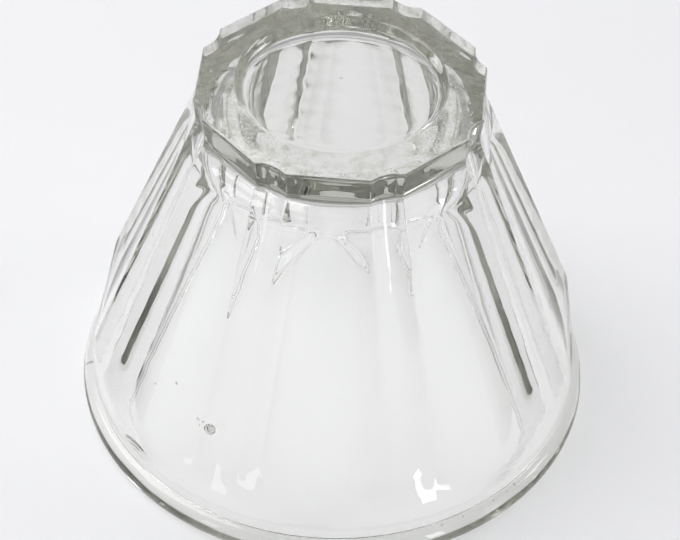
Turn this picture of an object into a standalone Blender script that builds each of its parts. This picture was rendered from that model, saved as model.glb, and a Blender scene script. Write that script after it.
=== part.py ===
"""Pressed-glass jar standing upside down on its mouth: fluted walls, thick foot, deep open cavity.

One closed glass body. The mouth rests on the plane z = 0 and the foot faces up. Metres, +Z up.
"""
import math

import bmesh
import bpy

# Overall
HEIGHT = 0.0755
FLUTES = 8
RIB_AZIMUTH = 18.9            # azimuth of the first rib's middle, degrees

# Mouth bead and the plain band above it
BEAD_R = 0.0500
BEAD_H = 0.0050
BEAD_FOOT_R = 0.0484          # where the bead turns into the flat resting ring
GROOVE_R = 0.04775
BAND_R = 0.0479
BAND_EASE_H = 0.0015          # height over which the groove eases out to the band

# Faceted wall: straight ridges from the plain band up to the foot
FOOT_BAND_H = 0.0050
FOOT_TOP_R = 0.0271           # ridge radius at the foot's face
FOOT_LOW_R = 0.02665          # ridge radius at the bottom of the foot band
RIDGE_SLOPE = 0.402           # how much the ridges spread per unit of height going down
RIB_HALF_TOP = 6.44           # half the angle of a narrow rib facet, degrees
RIB_HALF_LOW = 5.20
RIB_DISH = 0.0008             # how deep a rib facet is hollowed below its chord
FLUTE_DISH = 0.0014           # the same for a wide flute, under its arched top
ARCH_APEX_Z = 0.0660          # top of a flute's hollow at its middle
ARCH_CUSP_Z = 0.0585          # and at its two ridges
ARCH_EASE_H = 0.0040          # height over which the hollow deepens below the arch
BLEND = 0.0006                # softness of the line where a facet runs out into the band
FOOT_ROUND = 0.0006           # fire-polished edge of the foot

# Shallow round recess in the foot's face
RECESS_MOUTH_R = 0.0195
RECESS_FLOOR_R = 0.0175
RECESS_DEPTH = 0.0015

# Cavity, open downwards
MOUTH_R = 0.0450
MOUTH_LIP_R = 0.0460          # inner edge of the flat resting ring
CONE_LOW = (0.0100, 0.0443)   # height and radius where the cavity's cone starts
CONE_TOP = (0.0605, 0.0248)   # height and radius where its rounded corner starts
CAVITY_TOP = 0.0655           # flat crown at the blind end
CROWN_R = 0.0190              # radius of the flat crown, inside the rounded corner

RIB_STEPS = 4                 # mesh columns across a rib facet
FLUTE_STEPS = 8               # mesh columns across a flute

GLASS_COLOUR = (0.86, 0.90, 0.86, 1.0)
GLASS_IOR = 1.5


def clear_scene():
    """Start from an empty scene."""
    for item in list(bpy.data.objects):
        bpy.data.objects.remove(item)


def rib_half_angle(z):
    """Half the angle of a narrow rib facet at height z; the ribs widen less than the flutes."""
    share = min(max((HEIGHT - z) / HEIGHT, 0.0), 1.0)
    return RIB_HALF_TOP + (RIB_HALF_LOW - RIB_HALF_TOP) * share


def ridge_radius(z):
    """Radius of the ridges between facets at height z."""
    foot_low = HEIGHT - FOOT_BAND_H
    if z > foot_low:
        return FOOT_LOW_R + (FOOT_TOP_R - FOOT_LOW_R) * (z - foot_low) / FOOT_BAND_H
    return FOOT_LOW_R + RIDGE_SLOPE * (foot_low - z)


def envelope_radius(z):
    """Round envelope that limits the facets: bead, groove and plain band."""
    if z < BEAD_H:
        lift = 1.0 - (2.0 * z / BEAD_H - 1.0) ** 2
        edge = BEAD_FOOT_R if z < BEAD_H / 2 else GROOVE_R
        return edge + (BEAD_R - edge) * math.sqrt(max(lift, 0.0))
    ease = min((z - BEAD_H) / BAND_EASE_H, 1.0)
    return GROOVE_R + (BAND_R - GROOVE_R) * math.sin(ease * math.pi / 2)


def soft_min(a, b):
    """The smaller of two radii, rounded over BLEND where they are nearly equal."""
    mix = min(max(0.5 + 0.5 * (b - a) / BLEND, 0.0), 1.0)
    return b + (a - b) * mix - BLEND * mix * (1.0 - mix)


def facet_radius(z, offset, half, dish):
    """Radius of a hollowed facet, at an angle from its middle line, between two ridges."""
    chord = math.cos(math.radians(half)) / math.cos(math.radians(offset))
    return ridge_radius(z) * chord - dish * (1.0 - (offset / half) ** 2)


def flute_dish(z, offset, half):
    """Depth of a flute at height z: flat above its arched top, hollow below."""
    arch = ARCH_APEX_Z - (ARCH_APEX_Z - ARCH_CUSP_Z) * (offset / half) ** 2
    share = min(max((arch - z) / ARCH_EASE_H, 0.0), 1.0)
    return FLUTE_DISH * share * share * (3.0 - 2.0 * share)


def outline(z):
    """Outer section at height z as a list of (azimuth in radians, radius)."""
    points = []
    pitch = 360.0 / FLUTES
    rib_half = rib_half_angle(z)
    flute_half = pitch / 2 - rib_half
    for index in range(FLUTES):
        middle = RIB_AZIMUTH + pitch * index
        for step in range(RIB_STEPS):
            offset = rib_half * (2.0 * step / RIB_STEPS - 1.0)
            radius = facet_radius(z, offset, rib_half, RIB_DISH)
            points.append((math.radians(middle + offset), soft_min(radius, envelope_radius(z))))
        for step in range(FLUTE_STEPS):
            offset = flute_half * (2.0 * step / FLUTE_STEPS - 1.0)
            radius = facet_radius(z, offset, flute_half, flute_dish(z, offset, flute_half))
            azimuth = middle + pitch / 2 + offset
            points.append((math.radians(azimuth), soft_min(radius, envelope_radius(z))))
    return points


def outline_ring(z, inset=0.0, section_z=None):
    """Ring of points on the outer section, pulled in by inset."""
    section = outline(z if section_z is None else section_z)
    return [((r - inset) * math.cos(a), (r - inset) * math.sin(a), z) for a, r in section]


def round_ring(radius, z, section_z):
    """Circular ring whose points share the azimuths of the outer section."""
    return [(radius * math.cos(a), radius * math.sin(a), z) for a, _ in outline(section_z)]


def cavity_rings():
    """Cavity surface from its crown down to the mouth's lip."""
    rings = [round_ring(CROWN_R / 2, CAVITY_TOP, 0.0), round_ring(CROWN_R, CAVITY_TOP, 0.0)]
    cone_z, cone_r = CONE_TOP
    steps = 7
    for step in range(1, steps + 1):
        turn = math.pi / 2 * (1.0 - step / steps)
        radius = CROWN_R + (cone_r - CROWN_R) * math.cos(turn)
        z = cone_z + (CAVITY_TOP - cone_z) * math.sin(turn)
        rings.append(round_ring(radius, z, 0.0))
    low_z, low_r = CONE_LOW
    for step in range(1, 7):
        share = step / 6
        rings.append(round_ring(cone_r + (low_r - cone_r) * share,
                                cone_z + (low_z - cone_z) * share, 0.0))
    rings.append(round_ring(MOUTH_R, 0.0050, 0.0))
    rings.append(round_ring(MOUTH_R, 0.0012, 0.0))
    rings.append(round_ring(MOUTH_R + 0.0003, 0.0004, 0.0))
    rings.append(round_ring(MOUTH_LIP_R, 0.0, 0.0))
    return rings


def wall_rings():
    """Outer surface from the flat resting ring up to the foot's flat face."""
    rings = [outline_ring(0.0)]
    for z in (0.0003, 0.0008, 0.0015, 0.0025, 0.0035, 0.0042, 0.0047, BEAD_H, 0.0057, 0.0065):
        rings.append(outline_ring(z))
    for z in (0.0095, 0.0115, 0.0125, 0.0138, 0.0150, 0.0162, 0.0172, 0.0182, 0.0192, 0.0215):
        rings.append(outline_ring(z))
    for z in (0.0290, 0.0390, 0.0490, 0.0540, 0.0565, 0.0590, 0.0610, 0.0630, 0.0645,
              ARCH_APEX_Z, HEIGHT - FOOT_BAND_H):
        rings.append(outline_ring(z))
    round_low = HEIGHT - FOOT_ROUND
    rings.append(outline_ring(round_low))
    for turn in (30.0, 60.0, 90.0):
        rise = FOOT_ROUND * math.sin(math.radians(turn))
        inset = FOOT_ROUND * (1.0 - math.cos(math.radians(turn)))
        rings.append(outline_ring(round_low + rise, inset, round_low))
    return rings


def recess_rings():
    """Round recess in the foot's face, from its mouth to the edge of its flat floor."""
    rings = []
    for share in (0.0, 0.15, 0.35, 0.65, 0.85, 1.0):
        radius = RECESS_MOUTH_R + (RECESS_FLOOR_R - RECESS_MOUTH_R) * share
        z = HEIGHT - RECESS_DEPTH * (0.5 - 0.5 * math.cos(math.pi * share))
        rings.append(round_ring(radius, z, HEIGHT))
    rings.append(round_ring(RECESS_FLOOR_R / 2, HEIGHT - RECESS_DEPTH, HEIGHT))
    return rings


def build_mesh(name, rings, first_centre, last_centre):
    """Join rings of equal count into one closed skin, with a fan at each end."""
    bm = bmesh.new()
    rows = [[bm.verts.new(point) for point in ring] for ring in rings]
    count = len(rows[0])
    for low, high in zip(rows, rows[1:]):
        for i in range(count):
            j = (i + 1) % count
            bm.faces.new((low[i], low[j], high[j], high[i]))
    for row, centre in ((rows[0], first_centre), (rows[-1], last_centre)):
        hub = bm.verts.new(centre)
        for i in range(count):
            bm.faces.new((hub, row[i], row[(i + 1) % count]))
    bmesh.ops.triangulate(bm, faces=bm.faces)
    bmesh.ops.recalc_face_normals(bm, faces=bm.faces)
    if bm.calc_volume(signed=True) < 0.0:
        bmesh.ops.reverse_faces(bm, faces=bm.faces)
    mesh = bpy.data.meshes.new(name)
    bm.to_mesh(mesh)
    bm.free()
    return mesh


def glass_material():
    """Clear soda-lime glass with a faint green-grey tint."""
    material = bpy.data.materials.new("clear_glass")
    material.use_nodes = True
    shader = material.node_tree.nodes["Principled BSDF"]
    shader.inputs["Base Color"].default_value = GLASS_COLOUR
    shader.inputs["Roughness"].default_value = 0.02
    shader.inputs["IOR"].default_value = GLASS_IOR
    shader.inputs["Transmission Weight"].default_value = 1.0
    return material


def glass_body():
    """The whole jar: cavity, resting ring, outer wall and recessed foot as one body."""
    rings = cavity_rings() + wall_rings() + recess_rings()
    crown = (0.0, 0.0, CAVITY_TOP)
    floor_middle = (0.0, 0.0, HEIGHT - RECESS_DEPTH)
    mesh = build_mesh("glass_body", rings, crown, floor_middle)
    body = bpy.data.objects.new("glass_body", mesh)
    body.data.materials.append(glass_material())
    bpy.context.scene.collection.objects.link(body)
    return body


clear_scene()
glass_body()
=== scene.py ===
import math

import bmesh
import bpy
import numpy as np
from mathutils import Matrix, Vector


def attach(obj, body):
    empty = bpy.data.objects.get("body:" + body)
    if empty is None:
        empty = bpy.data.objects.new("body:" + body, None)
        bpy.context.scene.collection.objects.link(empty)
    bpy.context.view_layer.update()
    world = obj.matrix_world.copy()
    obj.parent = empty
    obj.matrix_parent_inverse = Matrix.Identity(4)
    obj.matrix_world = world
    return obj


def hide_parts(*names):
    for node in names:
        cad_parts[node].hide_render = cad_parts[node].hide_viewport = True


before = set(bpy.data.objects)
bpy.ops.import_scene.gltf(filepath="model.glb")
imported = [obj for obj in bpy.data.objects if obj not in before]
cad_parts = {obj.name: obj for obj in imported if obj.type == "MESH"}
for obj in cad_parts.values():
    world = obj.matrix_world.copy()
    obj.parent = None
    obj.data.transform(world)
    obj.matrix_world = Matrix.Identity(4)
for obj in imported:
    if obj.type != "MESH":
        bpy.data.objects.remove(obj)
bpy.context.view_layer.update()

# Clear pressed-glass jar standing on its mouth, foot up. One body of glass with air bubbles in it.
# Metres and degrees. The section is the CAD body's; ridges, ripples and bubbles are finer than it.

# Overall
HEIGHT = 0.0755
FLUTES = 8
RIB_AZIMUTH = 18.9             # azimuth of the first rib's middle
PITCH = 360.0 / FLUTES

# Mouth bead and the plain band above it
BEAD_R = 0.0500
BEAD_H = 0.0050
BEAD_FOOT_R = 0.0484
GROOVE_R = 0.04775
BAND_R = 0.0479
BAND_EASE_H = 0.0015

# Faceted wall
FOOT_BAND_H = 0.0050
FOOT_TOP_R = 0.0271
FOOT_LOW_R = 0.02665
RIDGE_SLOPE = 0.402
RIB_HALF_TOP = 6.44
RIB_HALF_LOW = 5.20
RIB_DISH = 0.0008
FLUTE_DISH = 0.0014
ARCH_APEX_Z = 0.0660           # top of a flute's hollow at its middle
ARCH_CUSP_Z = 0.0585           # and at its two ridges
ARCH_EASE_H = 0.0040
BLEND = 0.0006
RIDGE_ROUND = 0.00016          # softness of a ridge between two facets
FOOT_ROUND = 0.0006

# Shallow round recess in the foot's face
RECESS_MOUTH_R = 0.0195
RECESS_FLOOR_R = 0.0175
RECESS_DEPTH = 0.0015

# Cavity, open downwards
MOUTH_R = 0.0450
MOUTH_LIP_R = 0.0460
LIP_ROUND = (0.0010, 0.0012)   # width and height of the mouth's rounded lip
CONE_LOW = (0.0100, 0.0443)    # height and radius where the cone starts
CONE_TOP = (0.0605, 0.0248)    # and where the corner under the crown starts
CONE_EASE = ((0.0446, 0.0085), (0.0449, 0.0068))   # radius and height, between cone and mouth
CAVITY_TOP = 0.0655
CROWN_R = 0.0190

# Mesh density: columns across a facet, and the heights between which rings are evenly spaced
RIB_COLUMNS = 14
FLUTE_COLUMNS = 32
BAND_LOW_Z = 0.0070
RUN_OUT_TOP_Z = 0.0260
ARCH_LOW_Z = 0.0540

# Unevenness. A wave is (radians per metre of height, radians of shift round the jar).
RIDGE_WANDER = 0.12            # how far a ridge strays sideways from straight, degrees
LONG_WAVE = (620.0, 5.0)
SHORT_WAVE = (1180.0, 7.0)
SHORT_WAVE_SHARE = 0.6
WALL_RIPPLE = 0.000008         # waves left in the outer wall by the mould
WALL_WAVE = (620.0, 3.0)
FINE_WALL_WAVE = (980.0, -4.0)
UNEVEN_FROM_Z = 0.012          # the wall is even below this height
UNEVEN_EASE_H = 0.010          # and fully uneven this much above it
CROWN_RIPPLE = 0.000005        # rings left in the crown by the plunger
CROWN_RINGS = 1900.0           # radians per metre of radius

# Glass
GLASS_IOR = 1.5
GLASS_ABSORPTION = (0.50, 0.507, 0.43, 1.0)
GLASS_DENSITY = 23.0           # per metre
SHADOW_TINT = (0.86, 0.862, 0.858, 1.0)      # what one surface lets through of a lamp's light
# plain glass colour, and the greyish green painted on the foot's face as painted shade for the grey the
# thick glass shows there
PLAIN_GLASS_TINT = (1.0, 1.0, 1.0, 1.0)
FOOT_PAINTED_SHADE = (0.66, 0.65, 0.56, 1.0)
WEAR_AND_SHADE_DEPTH = (0.00025, 0.00008)              # wear and the painted shade fade in between these depths below the foot's face
WORN_ROUGHNESS = 0.16
SMEAR_ROUGHNESS = 0.012

# Air in the glass: bubbles as (azimuth, radius, height, half sizes out, sideways and up, mesh steps)
BUBBLES = (
    (239.0, 0.0424, 0.0222, (0.00085, 0.00130, 0.00120), 16),
    (236.5, 0.0424, 0.0234, (0.00022, 0.00050, 0.00022), 10),
)
SEEDS = 46
SEED_RADIUS = (0.00008, 0.00024)
SEED_STRETCH = (1.0, 1.8)
SEED_STEPS = 6
RIM_SEED_SHARE = 0.65          # how many of the seeds lie in the rim bead
RIM_SEED_RADIUS = (0.0466, 0.0485)
RIM_SEED_Z = (0.0012, 0.0042)
WALL_SEED_Z = (0.0150, 0.0600)
WALL_SEED_DEPTH = (0.0010, 0.0022)           # outwards from the cavity's cone
CONE_SLOPE = 0.386             # how much the cone narrows per unit of height
rng = np.random.default_rng(7)

# Stage
FLOOR_HALF = 3.0
FLOOR_Z = -0.0002
FLOOR_TONES = ((0.815, 0.815, 0.830, 1.0), (0.850, 0.850, 0.865, 1.0))
WORLD_GREY = (0.44, 0.44, 0.45, 1.0)
LAMP_AIM_Z = 0.03
LAMPS = (                      # name, place, width, height, watts
    ("key", (-0.66, 0.14, 0.95), 0.8, 0.8, 7.0),
    ("overhead", (0.0, 0.3, 1.3), 2.4, 2.4, 6.0),
    ("strip_left", (-0.62, -0.62, 0.16), 0.10, 0.50, 0.4),
    ("strip_right", (0.58, -0.66, 0.16), 0.10, 0.50, 1.1),
    ("window", (0.75, 0.10, 0.55), 0.16, 0.22, 0.8),
)
CAMERA_AIM = (0.00085, 0.0, 0.0283)
CAMERA_DISTANCE = 0.45
CAMERA_TILT = 44.33            # downwards
CAMERA_ROLL = 1.917
CAMERA_LENS = 122.77           # millimetres, on a sensor 36 mm wide
LIGHT_TURNS = 16


# ---- section of the jar -------------------------------------------------------------------

def soft_min(a, b, blend):
    """Smaller of two radii, rounded over blend where they nearly meet."""
    mix = np.clip(0.5 + 0.5 * (b - a) / blend, 0.0, 1.0)
    return b + (a - b) * mix - blend * mix * (1.0 - mix)


def rib_half_angle(z):
    share = np.clip((HEIGHT - z) / HEIGHT, 0.0, 1.0)
    return RIB_HALF_TOP + (RIB_HALF_LOW - RIB_HALF_TOP) * share


def ridge_radius(z):
    foot_low = HEIGHT - FOOT_BAND_H
    if z > foot_low:
        return FOOT_LOW_R + (FOOT_TOP_R - FOOT_LOW_R) * (z - foot_low) / FOOT_BAND_H
    return FOOT_LOW_R + RIDGE_SLOPE * (foot_low - z)


def envelope_radius(z):
    """Bead, groove and plain band, which limit the facets."""
    if z < BEAD_H:
        lift = math.sqrt(max(1.0 - (2.0 * z / BEAD_H - 1.0) ** 2, 0.0))
        edge = BEAD_FOOT_R if z < BEAD_H / 2 else GROOVE_R
        return edge + (BEAD_R - edge) * lift
    ease = min((z - BEAD_H) / BAND_EASE_H, 1.0)
    return GROOVE_R + (BAND_R - GROOVE_R) * math.sin(ease * math.pi / 2)


def facet_radius(z, offset, half, dish):
    chord = np.cos(np.radians(half)) / np.cos(np.radians(offset))
    return ridge_radius(z) * chord - dish * (1.0 - (offset / half) ** 2)


def flute_dish(z, offset, half):
    """Depth of a flute: flat above its arched top, hollow below."""
    arch = ARCH_APEX_Z - (ARCH_APEX_Z - ARCH_CUSP_Z) * (offset / half) ** 2
    share = np.clip((arch - z) / ARCH_EASE_H, 0.0, 1.0)
    return FLUTE_DISH * share * share * (3.0 - 2.0 * share)


def spread(count):
    """Steps from -1 towards 1, closer together at both ends."""
    even = np.linspace(-1.0, 1.0, count, endpoint=False)
    return 0.35 * even + 0.65 * np.sin(even * math.pi / 2)


def wander(z, azimuth):
    """Sideways wave of a ridge with height; it differs from ridge to ridge."""
    turn = np.radians(azimuth)
    long_wave = np.sin(z * LONG_WAVE[0] + LONG_WAVE[1] * np.sin(turn + 0.4))
    short_wave = np.sin(z * SHORT_WAVE[0] + SHORT_WAVE[1] * np.cos(turn))
    return RIDGE_WANDER * (long_wave + SHORT_WAVE_SHARE * short_wave)


def outline(z):
    """Azimuths in degrees and radii of the outer section at height z."""
    rib = rib_half_angle(z)
    flute = PITCH / 2 - rib
    azimuths, radii = [], []
    for index in range(FLUTES):
        middle = RIB_AZIMUTH + PITCH * index
        across_rib = rib * spread(RIB_COLUMNS)
        across_flute = flute * spread(FLUTE_COLUMNS)
        offset = np.concatenate([across_rib, PITCH / 2 + across_flute])
        azimuth = middle + offset
        near_rib = np.where(offset > PITCH / 2, offset - PITCH, offset)
        from_flute = offset - PITCH / 2 + np.where(offset < 0.0, PITCH, 0.0)
        ribs = facet_radius(z, near_rib, rib, RIB_DISH)
        flutes = facet_radius(z, from_flute, flute, flute_dish(z, from_flute, flute))
        azimuths.append(azimuth)
        radii.append(soft_min(ribs, flutes, RIDGE_ROUND))
    azimuth = np.concatenate(azimuths)
    radius = soft_min(np.concatenate(radii), envelope_radius(z), BLEND)
    uneven = np.clip((z - UNEVEN_FROM_Z) / UNEVEN_EASE_H, 0.0, 1.0)
    turn = np.radians(azimuth)
    ripple = np.sin(z * WALL_WAVE[0] + WALL_WAVE[1] * turn) * np.sin(5.0 * turn + 1.1)
    fine_ripple = 0.5 * np.sin(z * FINE_WALL_WAVE[0] + FINE_WALL_WAVE[1] * turn)
    radius = radius - WALL_RIPPLE * uneven * (1.0 + (ripple + fine_ripple))
    return azimuth + wander(z, azimuth) * uneven, radius


def ring(azimuth, radius, z):
    """Points round the axis at the given azimuths, each at its own radius."""
    turn = np.radians(azimuth)
    return np.stack([radius * np.cos(turn), radius * np.sin(turn), z + 0.0 * turn], axis=1)


def round_ring(radius, z, azimuth):
    return ring(azimuth, radius + 0.0 * azimuth, z)


def crown_height(radius):
    """The crown is flat to the eye and faintly rippled round its middle."""
    fade = 1.0 - (radius / CROWN_R) ** 4
    return CAVITY_TOP + CROWN_RIPPLE * fade * (math.sin(radius * CROWN_RINGS) - 1.0)


def cavity_rings():
    """Cavity surface from its crown down to the mouth's lip."""
    azimuth, _ = outline(0.0)
    rings = []
    for radius in np.linspace(0.0, CROWN_R, 30)[1:]:
        rings.append(round_ring(radius, crown_height(radius), azimuth))
    cone_z, cone_r = CONE_TOP
    for share in np.linspace(0.0, 1.0, 17)[1:]:
        turn = math.pi / 2 * (1.0 - share)
        rings.append(round_ring(CROWN_R + (cone_r - CROWN_R) * math.cos(turn),
                                cone_z + (CAVITY_TOP - cone_z) * math.sin(turn), azimuth))
    low_z, low_r = CONE_LOW
    for share in np.linspace(0.0, 1.0, 21)[1:]:
        rings.append(round_ring(cone_r + (low_r - cone_r) * share,
                                cone_z + (low_z - cone_z) * share, azimuth))
    lip_width, lip_height = LIP_ROUND
    straight = ((MOUTH_R, 0.0050), (MOUTH_R, 0.0030), (MOUTH_R, lip_height))
    for radius, z in CONE_EASE + straight:
        rings.append(round_ring(radius, z, azimuth))
    for turn in (30.0, 60.0, 90.0):
        rings.append(round_ring(MOUTH_LIP_R - lip_width * math.cos(math.radians(turn)),
                                lip_height * (1.0 - math.sin(math.radians(turn))), azimuth))
    return rings


def wall_rings():
    """Outer surface from the resting ring up over the foot's face and into its recess."""
    heights = np.concatenate([
        BEAD_H / 2 * (1.0 - np.cos(np.linspace(0.0, math.pi, 21))),
        np.linspace(BEAD_H, BAND_LOW_Z, 7)[1:],
        np.linspace(BAND_LOW_Z, RUN_OUT_TOP_Z, 42)[1:],
        np.linspace(RUN_OUT_TOP_Z, ARCH_LOW_Z, 38)[1:],
        np.linspace(ARCH_LOW_Z, HEIGHT - FOOT_ROUND, 40)[1:],
    ])
    rings = []
    for z in heights:
        azimuth, radius = outline(float(z))
        rings.append(ring(azimuth, radius, float(z)))
    azimuth, radius = outline(HEIGHT - FOOT_ROUND)
    for turn in np.linspace(0.0, 90.0, 8)[1:]:
        inset = FOOT_ROUND * (1.0 - math.cos(math.radians(turn)))
        z = HEIGHT - FOOT_ROUND + FOOT_ROUND * math.sin(math.radians(turn))
        rings.append(ring(azimuth, radius - inset, z))
    for share in np.linspace(0.0, 1.0, 8)[1:-1]:
        inner = (radius - FOOT_ROUND) * (1.0 - share) + RECESS_MOUTH_R * share
        rings.append(ring(azimuth, inner, HEIGHT))
    for share in np.linspace(0.0, 1.0, 15):
        depth = RECESS_DEPTH * (0.5 - 0.5 * math.cos(math.pi * share))
        rings.append(round_ring(RECESS_MOUTH_R + (RECESS_FLOOR_R - RECESS_MOUTH_R) * share,
                                HEIGHT - depth, azimuth))
    for share in np.linspace(1.0, 0.0, 12)[1:-1]:
        rings.append(round_ring(RECESS_FLOOR_R * share, HEIGHT - RECESS_DEPTH, azimuth))
    return rings


def skin(name, rings, first_hub, last_hub):
    """Mesh of rings joined in order, closed with a fan at each end, faces outwards."""
    count = len(rings[0])
    points = np.vstack(rings + [first_hub, last_hub])
    here = np.arange(count)
    there = (here + 1) % count
    faces = []
    for row in range(len(rings) - 1):
        low, high = row * count, (row + 1) * count
        faces += np.stack([low + here, low + there, high + there, high + here], axis=1).tolist()
    hub = len(rings) * count
    last = hub - count
    faces += [[hub, int(b), int(a)] for a, b in zip(here, there)]
    faces += [[hub + 1, int(last + a), int(last + b)] for a, b in zip(here, there)]
    mesh = bpy.data.meshes.new(name)
    mesh.from_pydata(points.tolist(), [], faces)
    bm = bmesh.new()
    bm.from_mesh(mesh)
    bmesh.ops.recalc_face_normals(bm, faces=bm.faces)
    if bm.calc_volume(signed=True) < 0.0:
        bmesh.ops.reverse_faces(bm, faces=bm.faces)
    bm.to_mesh(mesh)
    bm.free()
    mesh.polygons.foreach_set("use_smooth", [True] * len(mesh.polygons))
    return mesh


# ---- bubbles ------------------------------------------------------------------------------

def add_bubble(bm, azimuth, radius, z, size, steps):
    """Closed air pocket in the glass. Its faces look inwards, towards the air."""
    turn = math.radians(azimuth)
    out = Vector((math.cos(turn), math.sin(turn), 0.0))
    side = Vector((-math.sin(turn), math.cos(turn), 0.0))
    up = Vector((0.0, 0.0, 1.0))
    centre = out * radius + up * z
    made = bmesh.ops.create_uvsphere(bm, u_segments=steps * 2, v_segments=steps, radius=1.0)
    for vert in made["verts"]:
        x, y, h = vert.co
        bulge = 1.0 + 0.06 * math.sin(2.0 * x + 3.0 * h) + 0.04 * math.cos(3.0 * y - 1.0)
        vert.co = centre + (out * (x * size[0]) + side * (y * size[1]) + up * (h * size[2])) * bulge
    faces = {face for vert in made["verts"] for face in vert.link_faces}
    bmesh.ops.reverse_faces(bm, faces=list(faces))


def bubbles_mesh():
    """The larger bubbles, and seeds scattered in the rim bead and in the wall."""
    bm = bmesh.new()
    for azimuth, radius, z, size, steps in BUBBLES:
        add_bubble(bm, azimuth, radius, z, size, steps)
    smallest, largest = SEED_RADIUS
    for _ in range(SEEDS):
        azimuth = rng.uniform(0.0, 360.0)
        size = smallest + (largest - smallest) * rng.random() ** 2
        if rng.random() < RIM_SEED_SHARE:
            radius = rng.uniform(*RIM_SEED_RADIUS)
            z = rng.uniform(*RIM_SEED_Z)
        else:
            z = rng.uniform(*WALL_SEED_Z)
            cone = CONE_LOW[1] - CONE_SLOPE * (z - CONE_LOW[0])
            radius = cone + rng.uniform(*WALL_SEED_DEPTH)
        add_bubble(bm, azimuth, radius, z, (size, size * rng.uniform(*SEED_STRETCH), size), SEED_STEPS)
    mesh = bpy.data.meshes.new("air_bubbles")
    bm.to_mesh(mesh)
    bm.free()
    mesh.polygons.foreach_set("use_smooth", [True] * len(mesh.polygons))
    return mesh


# ---- materials ----------------------------------------------------------------------------

def math_node(tree, operation, a, b):
    """Sum or product of two values, each a number or a node's output."""
    made = tree.nodes.new("ShaderNodeMath")
    made.operation = operation
    for index, value in enumerate((a, b)):
        if isinstance(value, (int, float)):
            made.inputs[index].default_value = value
        else:
            tree.links.new(value, made.inputs[index])
    return made.outputs[0]


def noise(tree, vector, scale, detail=2.0, roughness=0.5):
    made = tree.nodes.new("ShaderNodeTexNoise")
    made.inputs["Scale"].default_value = scale
    made.inputs["Detail"].default_value = detail
    made.inputs["Roughness"].default_value = roughness
    tree.links.new(vector, made.inputs["Vector"])
    return made.outputs["Fac"]


def ramp(tree, value, low, high):
    """0 below low, 1 above high, straight between."""
    made = tree.nodes.new("ShaderNodeMapRange")
    made.inputs["From Min"].default_value = low
    made.inputs["From Max"].default_value = high
    tree.links.new(value, made.inputs["Value"])
    return made.outputs["Result"]


def bump(tree, height, strength, distance, normal=None):
    made = tree.nodes.new("ShaderNodeBump")
    made.inputs["Strength"].default_value = strength
    made.inputs["Distance"].default_value = distance
    tree.links.new(height, made.inputs["Height"])
    if normal is not None:
        tree.links.new(normal, made.inputs["Normal"])
    return made.outputs["Normal"]


def lamps_pass(tree, shader):
    """Lamps light what lies behind the glass through it, thinned by each of its surfaces."""
    ray = tree.nodes.new("ShaderNodeLightPath")
    clear = tree.nodes.new("ShaderNodeBsdfTransparent")
    clear.inputs["Color"].default_value = SHADOW_TINT
    mix = tree.nodes.new("ShaderNodeMixShader")
    tree.links.new(ray.outputs["Is Shadow Ray"], mix.inputs[0])
    tree.links.new(shader, mix.inputs[1])
    tree.links.new(clear.outputs[0], mix.inputs[2])
    return mix.outputs[0]


def glass_material():
    """Fire-polished walls; the foot's ring is rubbed rough, with fine pits where it has stood, and its
    colour is darkened to a greyish green in mottled patches, a painted shade for the grey the thick glass
    shows there.
    """
    material = bpy.data.materials.new("clear_pressed_glass")
    material.use_nodes = True
    tree = material.node_tree
    shader = tree.nodes["Principled BSDF"]
    output = tree.nodes["Material Output"]
    shader.inputs["Transmission Weight"].default_value = 1.0
    shader.inputs["IOR"].default_value = GLASS_IOR
    place = tree.nodes.new("ShaderNodeTexCoord").outputs["Object"]
    split = tree.nodes.new("ShaderNodeSeparateXYZ")
    tree.links.new(place, split.inputs[0])
    on_face = ramp(tree, split.outputs["Z"], HEIGHT - WEAR_AND_SHADE_DEPTH[0], HEIGHT - WEAR_AND_SHADE_DEPTH[1])
    mottle = ramp(tree, noise(tree, place, 420.0, 4.0, 0.65), 0.42, 0.66)
    scuff = ramp(tree, noise(tree, place, 2600.0, 2.0, 0.6), 0.55, 0.75)
    # mask for both the rubbed roughness and the painted shade on the foot's face
    wear_and_shade = math_node(tree, "MULTIPLY", on_face, mottle)
    pits = math_node(tree, "MULTIPLY", on_face, scuff)
    # painted shade: the glass colour is darkened to a greyish green in mottled patches on the foot's face
    shade_mix = tree.nodes.new("ShaderNodeMix")
    shade_mix.data_type = "RGBA"
    shade_mix.inputs["A"].default_value = PLAIN_GLASS_TINT
    shade_mix.inputs["B"].default_value = FOOT_PAINTED_SHADE
    tree.links.new(wear_and_shade, shade_mix.inputs["Factor"])
    tree.links.new(shade_mix.outputs["Result"], shader.inputs["Base Color"])
    rough = math_node(tree, "MULTIPLY", wear_and_shade, WORN_ROUGHNESS)
    smears = ramp(tree, noise(tree, place, 60.0, 3.0), 0.5, 0.8)
    smear = math_node(tree, "MULTIPLY", smears, SMEAR_ROUGHNESS)
    tree.links.new(math_node(tree, "ADD", rough, smear), shader.inputs["Roughness"])
    waves = bump(tree, noise(tree, place, 95.0, 1.0), 0.05, 0.0004)
    fine = bump(tree, pits, 0.35, 0.00006, waves)
    tree.links.new(fine, shader.inputs["Normal"])
    absorb = tree.nodes.new("ShaderNodeVolumeAbsorption")
    absorb.inputs["Color"].default_value = GLASS_ABSORPTION
    absorb.inputs["Density"].default_value = GLASS_DENSITY
    tree.links.new(absorb.outputs[0], output.inputs["Volume"])
    tree.links.new(lamps_pass(tree, shader.outputs[0]), output.inputs["Surface"])
    return material


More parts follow.
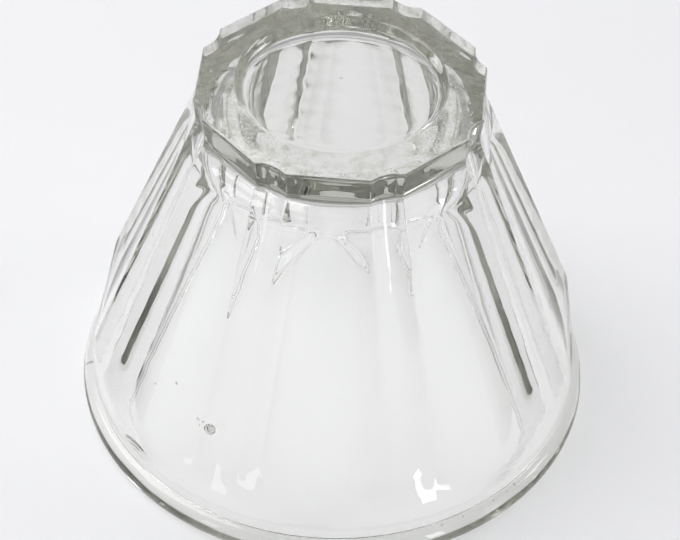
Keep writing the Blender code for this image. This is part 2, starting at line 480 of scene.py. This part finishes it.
def bubble_material():
    """Skin between the glass and the trapped air, faintly uneven."""
    material = bpy.data.materials.new("bubble_skin")
    material.use_nodes = True
    tree = material.node_tree
    shader = tree.nodes["Principled BSDF"]
    shader.inputs["Transmission Weight"].default_value = 1.0
    shader.inputs["IOR"].default_value = GLASS_IOR
    place = tree.nodes.new("ShaderNodeTexCoord").outputs["Object"]
    tree.links.new(math_node(tree, "MULTIPLY", noise(tree, place, 1500.0), 0.03),
                   shader.inputs["Roughness"])
    tree.links.new(bump(tree, noise(tree, place, 900.0), 0.15, 0.0001), shader.inputs["Normal"])
    tree.links.new(lamps_pass(tree, shader.outputs[0]), tree.nodes["Material Output"].inputs["Surface"])
    return material


def floor_material():
    """Matt off-white paper-like floor with faint tone changes and a fine tooth."""
    material = bpy.data.materials.new("pale_floor")
    material.use_nodes = True
    tree = material.node_tree
    shader = tree.nodes["Principled BSDF"]
    shader.inputs["Roughness"].default_value = 0.9
    place = tree.nodes.new("ShaderNodeTexCoord").outputs["Object"]
    tone = tree.nodes.new("ShaderNodeMix")
    tone.data_type = "RGBA"
    tone.inputs["A"].default_value, tone.inputs["B"].default_value = FLOOR_TONES
    tree.links.new(noise(tree, place, 14.0, 3.0), tone.inputs["Factor"])
    tree.links.new(tone.outputs["Result"], shader.inputs["Base Color"])
    tree.links.new(bump(tree, noise(tree, place, 1400.0, 2.0), 0.12, 0.0003), shader.inputs["Normal"])
    return material


# ---- object -------------------------------------------------------------------------------

def add_piece(name, mesh, material):
    piece = bpy.data.objects.new(name, mesh)
    piece.data.materials.append(material)
    bpy.context.scene.collection.objects.link(piece)
    return piece


def build_jar():
    cavity, wall = cavity_rings(), wall_rings()
    mesh = skin("jar_glass", cavity + wall, (0.0, 0.0, crown_height(0.0)),
                (0.0, 0.0, HEIGHT - RECESS_DEPTH))
    jar = add_piece("jar_glass", mesh, glass_material())
    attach(jar, "root")
    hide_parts("glass_body")
    bubbles = add_piece("air_bubbles", bubbles_mesh(), bubble_material())
    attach(bubbles, "root")


# ---- stage --------------------------------------------------------------------------------

def build_floor():
    mesh = bpy.data.meshes.new("floor")
    corners = [(x * FLOOR_HALF, y * FLOOR_HALF, FLOOR_Z) for x, y in ((-1, -1), (1, -1), (1, 1), (-1, 1))]
    mesh.from_pydata(corners, [], [(0, 1, 2, 3)])
    add_piece("floor", mesh, floor_material())


def add_softbox(name, place, width, height, energy):
    """Rectangular lamp aimed at the jar."""
    light = bpy.data.lights.new(name, "AREA")
    light.shape = "RECTANGLE"
    light.size, light.size_y, light.energy = width, height, energy
    lamp = bpy.data.objects.new(name, light)
    lamp.location = place
    aim = Vector((0.0, 0.0, LAMP_AIM_Z)) - Vector(place)
    lamp.rotation_euler = aim.to_track_quat("-Z", "Y").to_euler()
    bpy.context.scene.collection.objects.link(lamp)


def build_light():
    for name, place, width, height, energy in LAMPS:
        add_softbox(name, place, width, height, energy)
    world = bpy.data.worlds.new("studio")
    world.use_nodes = True
    bpy.context.scene.world = world
    background = world.node_tree.nodes["Background"]
    background.inputs["Color"].default_value = WORLD_GREY


def build_camera():
    """Looks along +Y and down at the jar, turned slightly about its own axis."""
    tilt = math.radians(CAMERA_TILT)
    roll = math.radians(CAMERA_ROLL)
    forward = Vector((0.0, math.cos(tilt), -math.sin(tilt)))
    right = Vector((1.0, 0.0, 0.0))
    up = right.cross(forward)
    right_rolled = right * math.cos(roll) + up * math.sin(roll)
    up_rolled = up * math.cos(roll) - right * math.sin(roll)
    place = Vector(CAMERA_AIM) - forward * CAMERA_DISTANCE
    data = bpy.data.cameras.new("camera")
    data.sensor_width = 36.0
    data.lens = CAMERA_LENS
    data.clip_start = 0.01
    camera = bpy.data.objects.new("camera", data)
    camera.matrix_world = Matrix((right_rolled, up_rolled, -forward)).transposed().to_4x4()
    camera.location = place
    bpy.context.scene.collection.objects.link(camera)
    bpy.context.scene.camera = camera


def set_light_paths():
    """Glass seen through glass needs many turns of the light."""
    scene = bpy.context.scene
    scene.view_settings.view_transform = "Standard"
    scene.cycles.max_bounces = LIGHT_TURNS
    scene.cycles.transmission_bounces = LIGHT_TURNS
    scene.cycles.glossy_bounces = LIGHT_TURNS


build_jar()
build_floor()
build_light()
build_camera()
set_light_paths()
